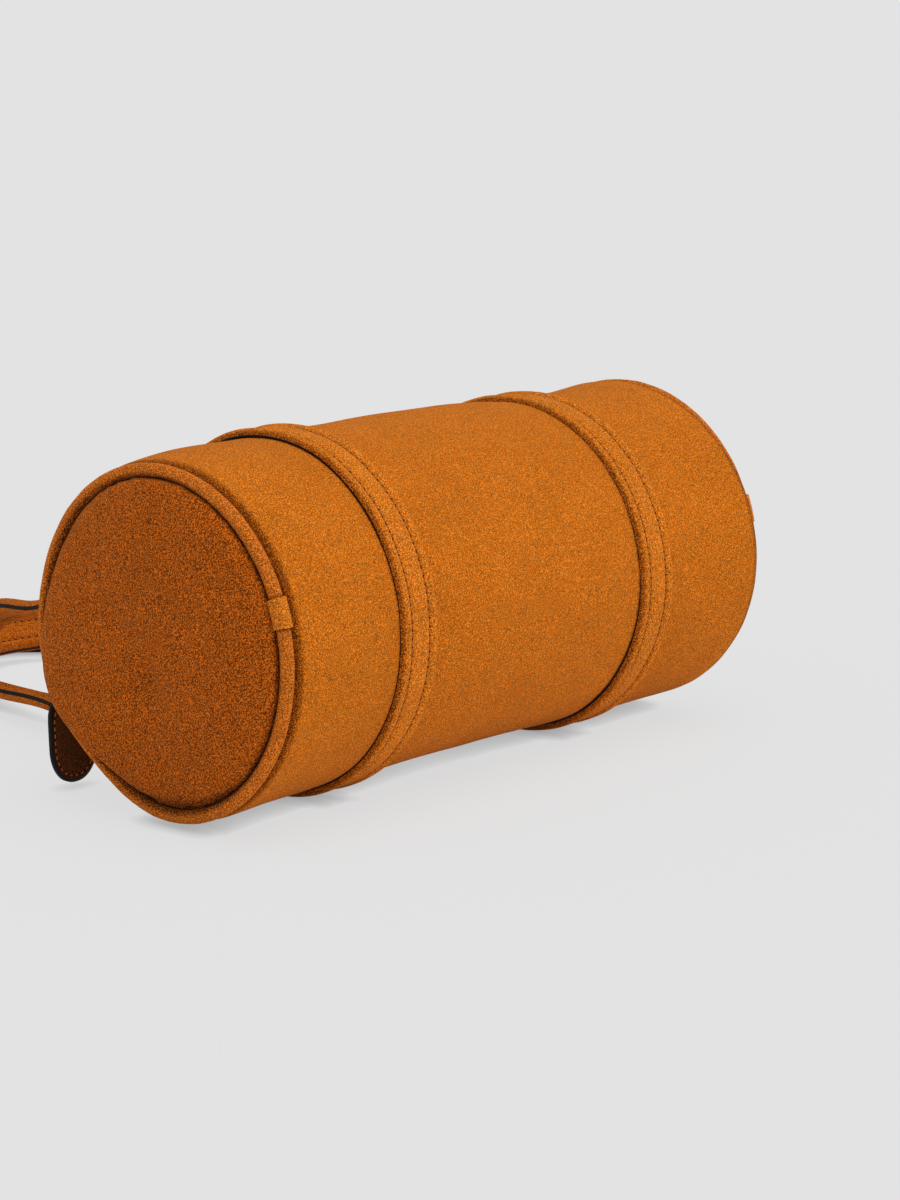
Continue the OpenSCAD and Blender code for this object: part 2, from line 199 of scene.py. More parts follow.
def tidy_mesh(ob):
    """Joins doubled points, turns the faces outward and keeps sharp corners and paint lines sharp."""
    mesh = bmesh.new()
    mesh.from_mesh(ob.data)
    bmesh.ops.remove_doubles(mesh, verts=mesh.verts, dist=1e-6)
    bmesh.ops.recalc_face_normals(mesh, faces=mesh.faces)
    for edge in mesh.edges:
        if len(edge.link_faces) != 2:
            continue
        one, other = edge.link_faces
        if one.material_index != other.material_index or edge.calc_face_angle(0) > 1.0:
            edge.smooth = False
    mesh.to_mesh(ob.data)
    mesh.free()


def grid_faces(rows, cols, close_rows=False, close_cols=False, keep=None):
    """Quads of a grid of points, with the (row, column) that each starts at."""
    faces, index = [], []
    for i in range(rows if close_rows else rows - 1):
        for j in range(cols if close_cols else cols - 1):
            if keep is None or keep(i, j):
                near, far = i * cols, (i + 1) % rows * cols
                k = (j + 1) % cols
                faces.append((near + j, near + k, far + k, far + j))
                index.append((i, j))
    return faces, index


def end_caps(rows, cols):
    """Faces over the first and the last row of a grid that closes along its columns."""
    return [tuple(range(cols)), tuple((rows - 1) * cols + j for j in reversed(range(cols)))]


def shifted(faces, start):
    """The same faces for points that begin at start."""
    return [tuple(start + i for i in face) for face in faces]


def side_caps(rows, cols):
    """Faces over the first and the last column of a grid that closes along its rows."""
    last = tuple(i * cols + cols - 1 for i in reversed(range(rows)))
    return [tuple(i * cols for i in range(rows)), last]


def points_of(ob):
    flat = np.empty(len(ob.data.vertices) * 3, np.float32)
    ob.data.vertices.foreach_get("co", flat)
    return flat.reshape(-1, 3) / MM


def move_points(ob, points):
    ob.data.vertices.foreach_set("co", (points * MM).astype(np.float32).ravel())
    ob.data.update()


def rest_on_floor(ob):
    points = points_of(ob)
    points[:, 2] = np.maximum(points[:, 2], STRAP_GAP)
    move_points(ob, points)


def apply_modifiers(ob):
    graph = bpy.context.evaluated_depsgraph_get()
    mesh = bpy.data.meshes.new_from_object(ob.evaluated_get(graph), depsgraph=graph)
    ob.modifiers.clear()
    ob.data = mesh


def round_edges(ob, width):
    bevel = ob.modifiers.new("edge", "BEVEL")
    bevel.width, bevel.segments, bevel.limit_method = width * MM, 3, "ANGLE"
    apply_modifiers(ob)


def mark_points(ob, name, amounts):
    """Gives each point a value from 0 to 1 that its material reads: how much painted shade it gets, or
    how far along a strap.
    """
    layer = ob.data.attributes.new(name, "FLOAT", "POINT")
    layer.data.foreach_set("value", np.asarray(amounts, np.float32))


def finish_piece(ob, body, slot, *nodes):
    """Says which body a piece moves with and hides the solids that it stands for. The slot is not used.
    """
    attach(ob, body)
    if nodes:
        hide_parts(*nodes)


# Materials

def colour(red, green, blue):
    """A colour as it shows on a screen, from 0 to 255, as the light that it stands for."""
    parts = [c / 255 for c in (red, green, blue)]
    return tuple(c / 12.92 if c < 0.04 else ((c + 0.055) / 1.055) ** 2.4 for c in parts) + (1,)


def grey(value):
    return (value, value, value, 1)


class Nodes:
    """A node material that is filled in from plain words."""

    def __init__(self, name):
        self.material = bpy.data.materials.new(name)
        self.material.use_nodes = True
        self.tree = self.material.node_tree
        self.shader = self.tree.nodes["Principled BSDF"]
        self.place = self.new("ShaderNodeTexCoord").outputs["Object"]

    def new(self, kind, **values):
        node = self.tree.nodes.new(kind)
        for name, value in values.items():
            if name in node.inputs:
                node.inputs[name].default_value = value
            else:
                setattr(node, name, value)
        return node

    def put(self, value, socket):
        if isinstance(value, (int, float, tuple)):
            socket.default_value = value
        else:
            self.tree.links.new(value, socket)

    def surface(self, **values):
        for name, value in values.items():
            self.put(value, self.shader.inputs[name.replace("_", " ")])
        return self.material

    def point_mark(self, name):
        return self.new("ShaderNodeAttribute", attribute_name=name).outputs["Fac"]

    def noise(self, scale, detail, rough, bend=0.0):
        node = self.new(
            "ShaderNodeTexNoise", Scale=scale, Detail=detail, Roughness=rough, Distortion=bend)
        self.put(self.place, node.inputs["Vector"])
        return node.outputs["Fac"]

    def ramp(self, factor, *stops):
        node = self.new("ShaderNodeValToRGB")
        elements = node.color_ramp.elements
        while len(elements) < len(stops):
            elements.new(0.5)
        for element, (position, value) in zip(elements, stops):
            element.position, element.color = position, value
        self.put(factor, node.inputs["Fac"])
        return node.outputs["Color"]

    def mix(self, kind, factor, one, other):
        node = self.new("ShaderNodeMix", data_type="RGBA", blend_type=kind)
        self.put(factor, node.inputs[0])
        self.put(one, node.inputs[6])
        self.put(other, node.inputs[7])
        return node.outputs[2]

    def bump(self, height, strength, depth, normal=None):
        node = self.new("ShaderNodeBump", Strength=strength, Distance=depth * MM)
        self.put(height, node.inputs["Height"])
        if normal is not None:
            self.put(normal, node.inputs["Normal"])
        return node.outputs["Normal"]


def suede(name, base, grain=2100, contrast=1.0, clumps=0.12, root=None):
    """Brushed suede: a fine nap over small clumps and soft patches, with painted shade, broken up
    by the nap, where its points are marked for it. A strap may start from the band's tone at its root
    and go over into its own darker tone of painted shade."""
    nodes = Nodes(name)
    if root is not None:
        base = nodes.mix("MIX", nodes.point_mark("along"), root, base)
    fine = nodes.noise(grain, 1.0, 0.5)
    clump = nodes.noise(grain * 0.45, 2.0, 0.6)
    patch = nodes.noise(40, 3.0, 0.55, 0.6)
    tone = nodes.mix("MULTIPLY", 1.0, base, nodes.ramp(patch, (0.3, grey(0.93)), (0.7, grey(1.05))))
    tone = nodes.mix("MULTIPLY", clumps, tone, nodes.ramp(clump, (0.35, grey(0.7)), (0.65, grey(1.25))))
    specks = nodes.ramp(fine, (0.36, grey(0.3)), (0.5, grey(0.9)), (0.64, grey(2.2)))
    tone = nodes.mix("MULTIPLY", contrast, tone, specks)
    # Painted shade: a darker copy of the tone, broken up by the nap, where points are marked for it
    shade_breakup = nodes.ramp(fine, (0.4, grey(1.0)), (0.62, grey(0.5)))
    shade_amount = nodes.mix("MULTIPLY", 1.0, nodes.point_mark("painted_shade"), shade_breakup)
    shade = nodes.mix("MULTIPLY", 1.0, tone, (0.14, 0.075, 0.08, 1))
    tone = nodes.mix("MIX", shade_amount, tone, shade)
    normal = nodes.bump(clump, 0.25, 0.5)
    normal = nodes.bump(fine, 0.8 * contrast, 0.5, normal)
    return nodes.surface(
        Base_Color=tone, Normal=normal, Roughness=0.95, Specular_IOR_Level=0.03,
        Sheen_Weight=0.15, Sheen_Roughness=0.5, Sheen_Tint=(1.0, 0.5, 0.16, 1))


def plain(name, dark, light, scale, rough, bump=0.3, depth=0.3, gloss=0.5):
    """A plain material with fine grain between two colours."""
    nodes = Nodes(name)
    grain = nodes.noise(scale, 4.0, 0.6)
    return nodes.surface(
        Base_Color=nodes.ramp(grain, (0.3, dark), (0.7, light)), Normal=nodes.bump(grain, bump, depth),
        Roughness=rough, Specular_IOR_Level=gloss)


def woven(name, dark, light, pitch):
    """Plain weave from two crossed waves; pitch is the distance between threads in millimetres."""
    nodes = Nodes(name)
    waves = []
    scale = 0.314 / (pitch * MM)
    for axis in ("X", "Z"):
        wave = nodes.new("ShaderNodeTexWave", Scale=scale, Distortion=0.6, bands_direction=axis)
        nodes.put(nodes.place, wave.inputs["Vector"])
        waves.append(wave.outputs["Fac"])
    both = nodes.mix("DIFFERENCE", 1.0, *waves)
    tone = nodes.mix("MIX", 0.3, both, nodes.noise(900, 3.0, 0.55))
    return nodes.surface(
        Base_Color=nodes.ramp(tone, (0.2, dark), (0.8, light)), Normal=nodes.bump(both, 0.6, 0.3),
        Roughness=0.85)


def metal(name, dark, light):
    """Satin metal with a little unevenness in its gloss."""
    nodes = Nodes(name)
    grain = nodes.noise(600, 5.0, 0.7)
    gloss = nodes.ramp(grain, (0.0, grey(0.22)), (1.0, grey(0.42)))
    return nodes.surface(
        Base_Color=nodes.ramp(grain, (0.35, dark), (0.65, light)), Roughness=gloss,
        Normal=nodes.bump(grain, 0.12, 0.1), Metallic=1.0)


TAN = suede("suede_tan", colour(188, 102, 22), grain=2400, contrast=0.65)
# The ends' suede: the barrel's suede in a darker tone, painted shade for ends that face away from the
# light, with a coarser nap
TAN_END_SHADED = suede("suede_end", colour(160, 77, 15), grain=2100, contrast=1.0)
BAND_TONE = colour(197, 110, 29)
BAND = suede("suede_band", BAND_TONE, grain=2400, contrast=0.75)
# The handles' suede: the band's suede in a darker tone, painted shade for handles turned from the light
STRAP = suede("suede_strap_shaded", colour(170, 86, 19), grain=2400, contrast=0.75, root=BAND_TONE)
PIPING = suede("suede_piping", colour(186, 99, 29), grain=2300, contrast=0.8)
# The pull tab's suede in a dark tone, painted shade for the shade that it hangs in under the bag
TAB_SHADED = suede("suede_tab_shaded", colour(86, 50, 26), contrast=0.6)
PAINT = plain("edge_paint", colour(12, 8, 6), colour(24, 16, 12), 900, 0.6, 0.2, 0.2, gloss=0.15)
THREAD = plain("thread_tan", colour(146, 76, 24), colour(184, 102, 38), 2600, 0.75, 0.5, 0.2, gloss=0.1)
THREAD_LIGHT = plain("thread_light", colour(170, 92, 36), colour(204, 122, 56), 2600, 0.75, 0.5, 0.2, 0.1)
# Painted shade for the needle holes between stitches
HOLE_SHADE = plain("needle_hole_shade", colour(34, 14, 5), colour(56, 24, 9), 1800, 0.9, gloss=0.0)
TAPE = woven("zip_tape_cloth", colour(104, 58, 22), colour(142, 82, 34), 0.9)
LINING = woven("lining_cotton", colour(176, 148, 108), colour(206, 182, 142), 0.7)
BOARD = plain("fibre_board", colour(150, 134, 106), colour(176, 160, 130), 300, 0.9)
WADDING = plain("wadding_white", colour(214, 208, 194), colour(240, 236, 226), 160, 0.95, 0.8, 1.0)
CORD = plain("cotton_cord", colour(214, 206, 186), colour(236, 230, 214), 900, 0.9, 0.6, 0.4)
BRASS = metal("brass_satin", colour(176, 140, 78), colour(214, 180, 112))


# Barrel

# The suede is turned in along the zip, which lifts it a little: height, place beside the slot and
# spread
FOLD_H, FOLD_AT, FOLD_SPREAD = 0.55, 2.2, 1.8
# Radius of the shoulder at each end, how far the far one bulges past its seam, and how deep the
# suede is turned in there
SHOULDER_R, FAR_SHOULDER = 3.0, 1.5
TURNED_IN = (4.5, 6.0, 11.0)
# Painted shade on the barrel where it runs into the piping and under and beside the bands
SEAM_SHADE, BAND_SHADE = 0.85, 0.9
# Sheets inside the suede: material, slot, depth under its face, half length, half width and length
# of the opening along the zip, and thickness
SHEETS = {
    "stiffener": (BOARD, "interlining", 1.5, 116.9, 15.6, 237.0, 1.5),
    "lining": (LINING, "lining", 3.3, 118.4, 13.3, 232.0, 0.6)}


def barrel_tube(name, material, profile, slot_half_w, slot_len, thick, skin=False):
    """A tube from a profile of (x, inset) pairs, open along the zip's slot."""
    edge = math.degrees(slot_half_w / BODY_R)
    around = 270
    over_zip = np.linspace(360 - edge, 360 + edge, 9)[1:-1]
    angs = np.concatenate([np.linspace(edge, 360 - edge, around + 1), over_zip])
    xs, insets = np.array(profile).T
    grid_x, grid_a = np.meshgrid(xs, angs, indexing="ij")
    r = soft_radius(grid_x, grid_a, skin) - insets[:, None]
    if skin:
        off = np.radians(from_zip(grid_a)) * BODY_R - slot_half_w
        fold = FOLD_H * np.exp(-((off - FOLD_AT) / FOLD_SPREAD) ** 2)
        r = r + fold * (np.abs(grid_x) < slot_len / 2 + 6)
    points = world(grid_x, grid_a, r)
    points[..., 2] = np.maximum(points[..., 2], BARREL_GAP)

    def keep(i, j):
        return j < around or abs(xs[i] + xs[i + 1]) > slot_len

    faces, _ = grid_faces(len(xs), len(angs), close_cols=True, keep=keep)
    tube = mesh_object(name, points.reshape(-1, 3), faces, material)
    wall = tube.modifiers.new("thickness", "SOLIDIFY")
    wall.thickness, wall.offset = thick * MM, -1
    apply_modifiers(tube)
    return tube


def barrel_profile():
    """From the end seam over the rounded shoulder along the barrel to the other seam."""
    start = HALF_LEN - SHOULDER_R
    # the points lie closer together where the band pinches the suede
    runs = [np.linspace(0, 52, 27), np.linspace(53.5, 73, 14), np.linspace(74, 116, 22), [start]]
    middle = [(x, 0.0) for x in np.concatenate(runs)]
    halves = []
    for over in (0.0, FAR_SHOULDER):
        half = list(middle)
        for t in np.radians(np.linspace(15, 90, 6)):
            along = start + (SHOULDER_R + over) * math.sin(t)
            half.append((along, SHOULDER_R - SHOULDER_R * math.cos(t)))
        half += zip((HALF_LEN + over, HALF_LEN, HALF_LEN), TURNED_IN)
        halves.append(half)
    return [(-x, inset) for x, inset in reversed(halves[0][1:])] + halves[1]


def build_barrel():
    skin = barrel_tube("barrel_suede", TAN, barrel_profile(), SLOT_HALF_W, SLOT_LEN, SUEDE_T, skin=True)
    x, y, z = points_of(skin).T
    x = np.abs(x)
    # Painted shade where the barrel runs into the piping and beside the bands, but not along the zip
    painted_seam_shade = SEAM_SHADE * smooth((x - (HALF_LEN - SHOULDER_R)) / 2.2)
    painted_band_shade = BAND_SHADE * smooth((STRAP_W / 2 + 1.0 - np.abs(x - BAND_X)) / 1.2)
    ang = np.degrees(np.arctan2(z - AXIS_Z, y - AXIS_Y)) + ROLL
    painted_band_shade *= smooth((from_zip(ang) - LEAVE) / 2)
    mark_points(skin, "painted_shade", np.maximum(painted_seam_shade, painted_band_shade))
    finish_piece(skin, "bag", "suede", "body_panel")
    for word, (material, slot, depth, half_len, half_w, slot_len, thick) in SHEETS.items():
        straight = [(x, depth) for x in np.linspace(-half_len, half_len, 61)]
        sheet = barrel_tube("barrel_" + word, material, straight, half_w, slot_len, thick)
        finish_piece(sheet, "bag", slot, "body_" + word)


# Ends

# Place along the barrel at which the end seam's outline is taken
SEAM_X = 122.0
# An end cushion: where it starts to round off, its reach past there, and its greatest radius
CUSHION_X, CUSHION_RISE, CUSHION_R = 124.2, 8.3, 56.9
# Powers of its section, where 1 is a plain oval and less is squarer, and how deep its filling lies
FACE_POWER, RIM_POWER = 0.7, 0.5
FILLING_DEPTH = 2.4
# While it swells, a cushion is free beyond this place and held wholly this much nearer its back
FREE_X, HOLD_OVER = 129.5, 4.0
# Air pressure, frames and greatest move while a cushion swells
PRESSURE, LAST_FRAME, SWELL = 4.0, 20, 2.0
# Its filling has settled: world angle, spread and height of where it bulges and where it draws in
SETTLED = [(-30.0, 28.0, 1.3), (35.0, 34.0, -1.2), (-98.0, 40.0, -1.9)]
# Flat discs behind each cushion: material, slot, radius and the places of the two faces
DISCS = {
    "end_board": (BOARD, "board", 53.0, HALF_LEN - 0.1, HALF_LEN + 0.2),
    "end_lining": (LINING, "lining", 56.0, 117.9, 118.5)}


def ring_offset(ang, side):
    """How far the end seam lies outside its plain circle."""
    return settled_radius(side * SEAM_X, ang, oval(ang, *SEAM[side])) - BODY_R


def pucker(ang, side, seed):
    values = []
    for a in np.radians(ang):
        values.append(noise.noise(Vector((9 * math.cos(a), 9 * math.sin(a), seed + side * 3))))
    return np.array(values)


def turned_solid(name, material, side, section, settled=(), smooth_shade=True):
    """A closed solid turned about the barrel's axis, that follows the end seam's outline."""
    ang = np.linspace(0, 360, 144, endpoint=False)
    bulge = np.zeros(len(ang))
    for middle, spread, height in settled:
        bulge += height * hump(ang, middle, spread)
    widest = max(r for _, r in section)
    rows = []
    for x, r in section:
        proud = bulge * smooth((x - PIPE_X) / 3)
        reach = (r + proud + ring_offset(ang, side)) * r / widest
        rows.append(world(side * (x + 1.5 * proud), ang, reach))
    faces, _ = grid_faces(len(rows), len(ang), close_cols=True)
    return mesh_object(name, np.concatenate(rows), faces, material, smooth_shade=smooth_shade)


def cushion_section(inset):
    """From the middle of the cushion's face over its rim to the middle of its back."""
    turns = np.radians(np.linspace(0, 90, 20))
    section = []
    for t in turns:
        rise = CUSHION_RISE * max(math.cos(t), 0) ** FACE_POWER
        section.append((CUSHION_X + rise, CUSHION_R * math.sin(t) ** RIM_POWER))
    section.append((CUSHION_X - 1.5, CUSHION_R - 0.4))
    section = [(x - inset, max(r - inset, 0)) for x, r in section]
    back = HALF_LEN + 0.3
    r = section[-1][1]
    return section + [(back, r), (back, r / 2), (back, 0)]


def swell(ob):
    """Fills a cushion with air as cloth does, with its back and rim held."""
    rest = points_of(ob)
    held = ob.vertex_groups.new(name="held")
    for i, x in enumerate(np.abs(rest[:, 0])):
        weight = float(np.clip((FREE_X - x) / HOLD_OVER, 0, 1))
        if weight > 0.001:
            held.add([i], weight, "REPLACE")
    cloth = ob.modifiers.new("cloth", "CLOTH")
    cloth.collision_settings.use_collision = False
    cloth.point_cache.frame_start, cloth.point_cache.frame_end = 1, LAST_FRAME
    settings = cloth.settings
    settings.quality = 6
    settings.mass = 0.4
    settings.tension_stiffness = settings.compression_stiffness = 28
    settings.shear_stiffness = 14
    settings.bending_stiffness = 3.0
    settings.vertex_group_mass = "held"
    settings.use_pressure = True
    settings.uniform_pressure_force = PRESSURE
    settings.effector_weights.gravity = 0
    for f in range(1, LAST_FRAME + 1):
        bpy.context.scene.frame_set(f)
    shape = ob.evaluated_get(bpy.context.evaluated_depsgraph_get())
    got = np.array([v.co for v in shape.to_mesh().vertices]) / MM
    shape.to_mesh_clear()
    ob.modifiers.clear()
    ob.vertex_groups.clear()
    bpy.context.scene.frame_set(1)
    move = np.nan_to_num(got - rest)
    length = np.linalg.norm(move, axis=1, keepdims=True)
    move_points(ob, rest + move * np.minimum(1, SWELL / np.maximum(length, 1e-6)))


def build_cushion(side, word):
    panel = turned_solid(word + "_end_suede", TAN_END_SHADED, side, cushion_section(0.0), SETTLED)
    even = panel.modifiers.new("even", "REMESH")
    even.mode, even.voxel_size = "VOXEL", 2.4 * MM
    apply_modifiers(panel)
    swell(panel)
    calm = panel.modifiers.new("calm", "SMOOTH")
    calm.factor, calm.iterations = 0.5, 2
    fine = panel.modifiers.new("fine", "SUBSURF")
    fine.levels = fine.render_levels = 1
    apply_modifiers(panel)
    panel.data.polygons.foreach_set("use_smooth", [True] * len(panel.data.polygons))
    # Painted shade on the cushion's rim, where it turns in toward the piping
    mark_points(panel, "painted_shade", smooth((125.8 - np.abs(points_of(panel)[:, 0])) / 2.0))
    finish_piece(panel, "bag", "suede_end", word + "_end_panel")
    pad_section = cushion_section(FILLING_DEPTH)
    pad = turned_solid(word + "_end_filling", WADDING, side, pad_section, SETTLED)
    finish_piece(pad, "bag", "wadding", word + "_end_wadding")


def build_discs(side, word):
    for node, (material, slot, r, inside, outside) in DISCS.items():
        section = [(inside, 0), (inside, r), (outside, r), (outside, 0)]
        disc = turned_solid(f"{word}_{node}_disc", material, side, section, smooth_shade=False)
        finish_piece(disc, "bag", slot, f"{word}_{node}")


# The cord in the piping, and half the length of the cover over the piping's join, how far its two
# faces lie past the piping and the two angles that it reaches round the piping
PIPE_CORD_R = 1.4
COVER_HALF, COVER_IN, COVER_OUT = 5.0, 0.05, 0.85
COVER_TURNS = (-88, 176)


def pipe_point(side, turn, rad, ang, ring):
    """Point on a tube of radius rad that runs along the end seam."""
    t = math.radians(turn)
    return world(side * (PIPE_X + rad * math.sin(t)), ang, ring + rad * math.cos(t))


def build_piping(side, word):
    """The suede tube, a little uneven, with the puckers of a tight curve, and the cord inside it."""
    ang = np.linspace(0, 360, 480, endpoint=False)
    ring = PIPE_RING + ring_offset(ang, side)
    turns = np.linspace(0, 360, 28, endpoint=False)
    rows, shaded = [], []
    # Painted shade on the piping's sides, where they run into the seam, and beside the cover over its
    # join
    cover_shade = smooth((COVER_HALF + 1.0 - np.abs(ang - 180) * math.radians(PIPE_RING)) / 0.8)
    for turn in turns:
        seed = 2 + math.cos(math.radians(turn))
        rad = PIPE_R + 0.1 * pucker(ang, side, seed) + 0.05 * pucker(ang * 3.1, side, 7)
        rows.append(pipe_point(side, turn, rad, ang, ring))
        shaded.append(np.maximum(cover_shade, smooth((0.35 - math.cos(math.radians(turn - 15))) / 0.9)))
    faces, _ = grid_faces(len(turns), len(ang), close_rows=True, close_cols=True)
    tube = mesh_object(word + "_piping_suede", np.concatenate(rows), faces, PIPING)
    mark_points(tube, "painted_shade", np.concatenate(shaded))
    finish_piece(tube, "bag", "suede", word + "_piping")
    rows = [pipe_point(side, turn, PIPE_CORD_R, ang, ring) for turn in turns]
    core = mesh_object(word + "_piping_core", np.concatenate(rows), faces, CORD)
    finish_piece(core, "bag", "piping_cord", word + "_piping_cord")


def build_piping_cover(side, word):
    """The small cover over the piping's join, at the bag's bottom line."""
    half = math.degrees(COVER_HALF / PIPE_RING)
    ang = np.linspace(180 - half, 180 + half, 25)
    ring = PIPE_RING + ring_offset(ang, side)
    turns = np.linspace(*COVER_TURNS, 30)
    rows = [pipe_point(side, turn, PIPE_R + COVER_OUT, ang, ring) for turn in turns]
    rows += [pipe_point(side, turn, PIPE_R + COVER_IN, ang, ring) for turn in reversed(turns)]
    faces, _ = grid_faces(len(rows), len(ang), close_rows=True)
    faces += side_caps(len(rows), len(ang))
    cover = mesh_object(word + "_piping_cover", np.concatenate(rows), faces, BAND)
    round_edges(cover, 0.18)
    finish_piece(cover, "bag", "suede", word + "_piping_wrap")


def build_end(side, word):
    build_cushion(side, word)
    build_discs(side, word)
    build_piping(side, word)
    build_piping_cover(side, word)


# Straps

# Half profile of one padded strip: place across it and height, from its painted wall over the
# rolled hump and the sewn groove to the flat middle
STITCH_V, GROOVE_H = 4.3, 1.85
HALF_PROFILE = [
    (-8.6, 0.0), (-8.6, 0.7), (-8.5, 1.2), (-8.1, 1.95), (-7.5, 2.55), (-6.9, 2.86), (-6.3, 2.9),
    (-5.7, 2.74), (-5.2, 2.42), (-4.8, 2.1), (-4.5, 1.9), (-4.3, 1.85), (-4.1, 1.9), (-3.8, 2.05),
    (-3.3, 2.22), (-2.4, 2.36), (-1.2, 2.4), (0.0, 2.4)]
PROFILE = HALF_PROFILE + [(-v, h) for v, h in reversed(HALF_PROFILE[:-1])]
PAINTED_FACES = (0, len(PROFILE) - 2)
# Painted shade in the sewn groove and on a band's walls, and how far the band lies off the barrel
GROOVE_SHADE, WALL_SHADE = 0.5, 0.75
BAND_GAP = 0.1
# The outer strip of a handle: over how much of its root it still lies on the barrel, keeps the
# band's direction and goes from the band's tone into its darker tone of painted shade, and two
# distances from its root, along the way it leaves the barrel, whose points are handed to its stitches
LIES_OVER, FLAT_OVER, SHADE_OVER = 18.0, 6.0, 90
BEND_REACHES = (2.0, 20.0)


def strap_piece(name, points, across, out, suede_material, ends=False, wall_shade=0.0):
    """A strip along points; each ring is the padded profile on its own directions."""
    rows = []
    for i, point in enumerate(points):
        ring = []
        for v, h in PROFILE:
            wave = 0.05 * noise.noise(Vector((i * 0.11, v * 0.2, len(name)))) if h > 0.9 else 0
            ring.append(point + v * across[i] + (h + wave) * out[i])
        rows.append(ring)
    faces, index = grid_faces(len(rows), len(PROFILE), close_cols=True)
    marks = [int(j in PAINTED_FACES) for _, j in index]
    if ends:
        faces += end_caps(len(rows), len(PROFILE))
        marks += [1, 1]
    strip = mesh_object(name, np.concatenate(rows), faces, [suede_material, PAINT], marks)
    # Painted shade on a band's walls and in the sewn grooves
    v = np.abs([v for v, _ in PROFILE])
    painted_wall_shade = wall_shade * smooth((v - 7.3) / 1.0)
    painted_groove_shade = GROOVE_SHADE * np.exp(-((v - STITCH_V) / 0.4) ** 2)
    mark_points(strip, "painted_shade", np.tile(np.maximum(painted_wall_shade, painted_groove_shade), len(rows)))
    rest_on_floor(strip)
    return strip


def bead(at, forward, out, length, wide, high, sides=6, steps=6):
    """Points of a small rounded bead that lies along forward, and the faces between them."""
    side = np.cross(out, forward)
    points = []
    for u in np.linspace(-0.5, 0.5, steps):
        full = math.sqrt(max(0.06, 1 - (2 * u) ** 4))
        dip = 0.5 * abs(2 * u) ** 3 * high
        for j in range(sides):
            t = 2 * math.pi * j / sides
            lift = high * full * math.sin(t) - dip
            points.append(at + forward * u * length + out * lift + side * wide * full * math.cos(t))
    faces, _ = grid_faces(steps, sides, close_cols=True)
    return points, faces + end_caps(steps, sides)


def stitches(name, lines, material, body, pitch=2.85, length=2.0, rad=0.33, ends=None):
    """Sewn threads with a needle hole between each two, a flat dark bead of painted shade;
    a line is (points, outward directions).
    """
    points, faces, marks = [], [], []
    for line, outs in lines:
        along = np.concatenate([[0], np.cumsum(np.linalg.norm(np.diff(line, axis=0), axis=1))])

        def at(where, values):
            return np.array([np.interp(where, along, values[:, c]) for c in range(3)])

        for k in range(int((along[-1] - 1) / pitch)):
            thread = (k + 0.5) * pitch + 0.5
            sewn = (thread, length, rad * 1.1, rad, 0)
            pierced = (thread + pitch / 2, pitch - length + 0.4, rad * 1.6, 0.12, 1)
            for where, long, wide, high, mark in (sewn, pierced):
                out = at(where, outs)
                out /= np.linalg.norm(out)
                forward = at(where + 0.2, line) - at(where - 0.2, line)
                forward /= max(np.linalg.norm(forward), 1e-6)
                more, quads = bead(at(where, line), forward, out, long, wide, high)
                faces += shifted(quads, len(points))
                marks += [mark] * len(quads)
                points += more
    ob = mesh_object(name, points, faces, [material, HOLE_SHADE], marks)
    if ends is None:
        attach(ob, body)
    else:
        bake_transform(ob)


def sewn_rows(points, across, out):
    """The two rows of stitches along a strip."""
    return [(points + v * across + GROOVE_H * out, out) for v in (-STITCH_V, STITCH_V)]


def band_radius(x, ang):
    """A band lies close on the soft barrel."""
    return soft_radius(x, ang) + BAND_GAP


def build_band(side, word):
    ang = np.linspace(LEAVE, 360 - LEAVE, 300)
    x = side * BAND_X
    points = world(x, ang, band_radius(x, ang))
    across = np.tile([1.0, 0, 0], (len(ang), 1))
    out = outward(ang)
    band = strap_piece(word + "_band_suede", points, across, out, BAND, wall_shade=WALL_SHADE)
    finish_piece(band, "bag", "suede", word + "_band")
    rows = sewn_rows(points, across, out)
    for line, _ in rows:
        line[:, 2] = np.maximum(line[:, 2], THREAD_GAP)
    stitches(word + "_band_stitches", rows, THREAD, "bag")


# Handles, along the same lines as the part's own: way is 1 for the upper and -1 for the lower

def share_at(t, shares):
    """Smooth curve through shares given at the steps."""
    i = 0
    while i < len(STEPS) - 2 and t > STEPS[i + 1]:
        i += 1
    width = STEPS[i + 1] - STEPS[i]
    before, after = max(i - 1, 0), min(i + 2, len(shares) - 1)
    slope = (shares[i + 1] - shares[before]) / (STEPS[i + 1] - STEPS[before]) * width
    next_slope = (shares[after] - shares[i]) / (STEPS[after] - STEPS[i]) * width
    f = (t - STEPS[i]) / width
    return ((2 * f ** 3 - 3 * f ** 2 + 1) * shares[i] + (f ** 3 - 2 * f ** 2 + f) * slope
            + (3 * f ** 2 - 2 * f ** 3) * shares[i + 1] + (f ** 3 - f ** 2) * next_slope)


def share_of_reach(way, turn):
    return math.sin(math.radians(turn)) ** (2 / ARCH[way])


def on_line(way, turn):
    """Point of the left half of a handle's middle line; turn runs from 0 at the bag to 90."""
    t = share_of_reach(way, turn)
    root = math.radians(way * LEAVE - ROLL)
    start = BODY_R * math.cos(root)
    x = -BAND_X * max(math.cos(math.radians(turn)), 0) ** (2 / ARCH[way])
    z = AXIS_Z * share_at(t, [1 + BODY_R * math.sin(root) / AXIS_Z] + HEIGHTS[way])
    if t > 0.03:
        z = max(z, STRIP_T + 0.1)
    return np.array([x, AXIS_Y + start + (REACH[way] - start) * t, z])


def frame_at(way, turn):
    """Directions across the strap and out of its outer face."""
    d = 0.4
    along = np.array([1.0, 0, 0])
    if turn <= 90 - d:
        along = on_line(way, turn + d) - on_line(way, max(turn - d, d / 8))
        along /= np.linalg.norm(along)
    k = share_at(share_of_reach(way, turn), TURNS[way])
    lean = math.radians(LEAN[way])
    want = (1 - k) * np.array([-1.0, 0, 0]) + k * np.array([0, math.sin(lean), math.cos(lean)])
    across = want - want.dot(along) * along
    across /= np.linalg.norm(across)
    return across, way * np.cross(along, across)


